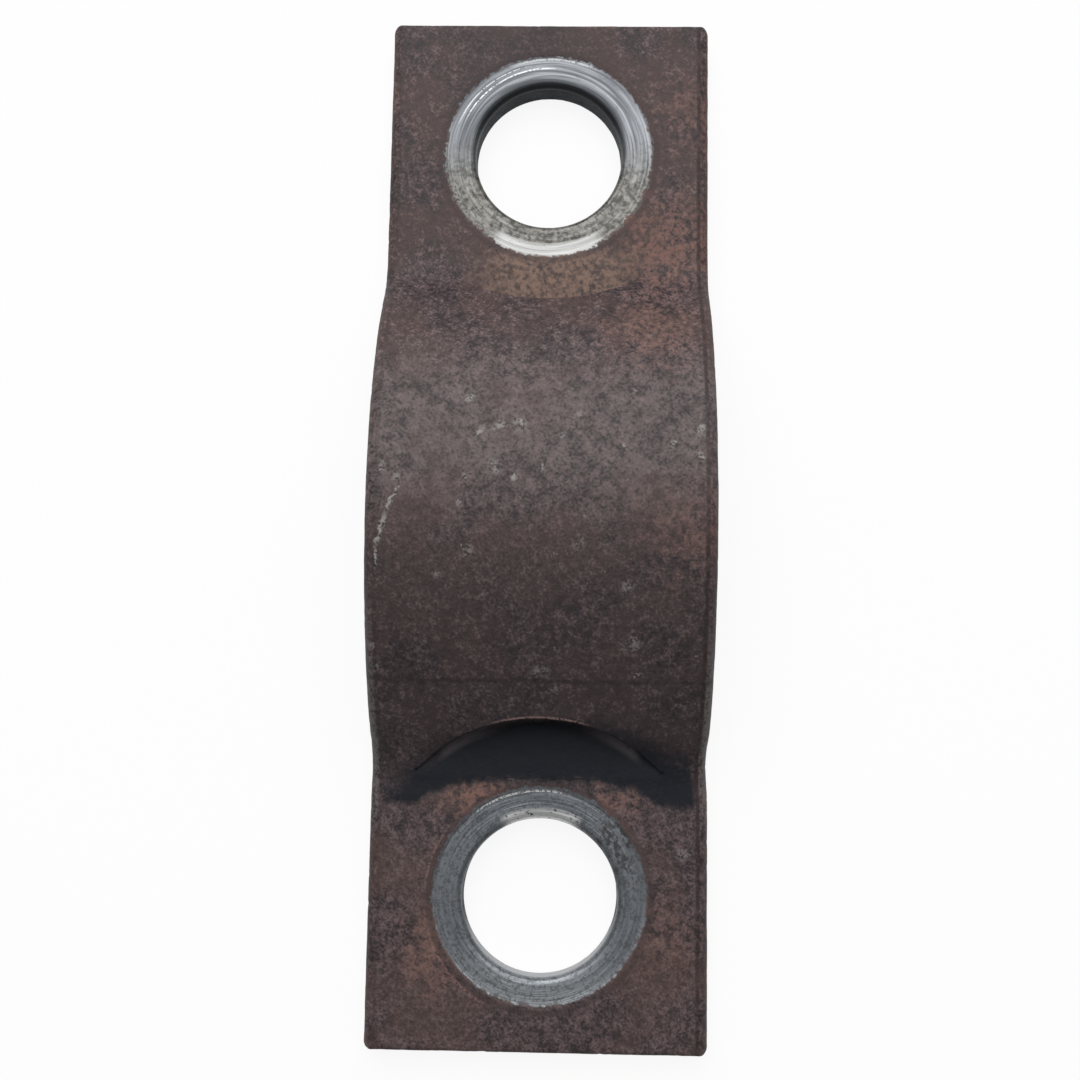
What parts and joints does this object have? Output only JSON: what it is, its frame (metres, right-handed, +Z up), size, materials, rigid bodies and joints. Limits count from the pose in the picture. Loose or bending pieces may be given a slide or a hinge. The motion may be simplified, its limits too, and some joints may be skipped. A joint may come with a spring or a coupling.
{
  "type": "driveshaft support bracket",
  "caption": "Pressed steel strap with a shallow saddle arch between two flat ears, each with a bolt hole; holds a driveshaft's support bearing down on its seat.",
  "frame": {"origin": "middle of the two bolt holes, on the plane that both ears stand on", "axes": "+X along the shaft, +Y along the bar, +Z up through the crown of the arch"},
  "size_m": [0.0242, 0.076, 0.01],
  "materials": {
    "rusted_steel": "brown rust and mill scale, rubbed bright round the bolt holes"
  },
  "bodies": {
    "root": {"bracket": "rusted_steel"}
  },
  "joints": []
}
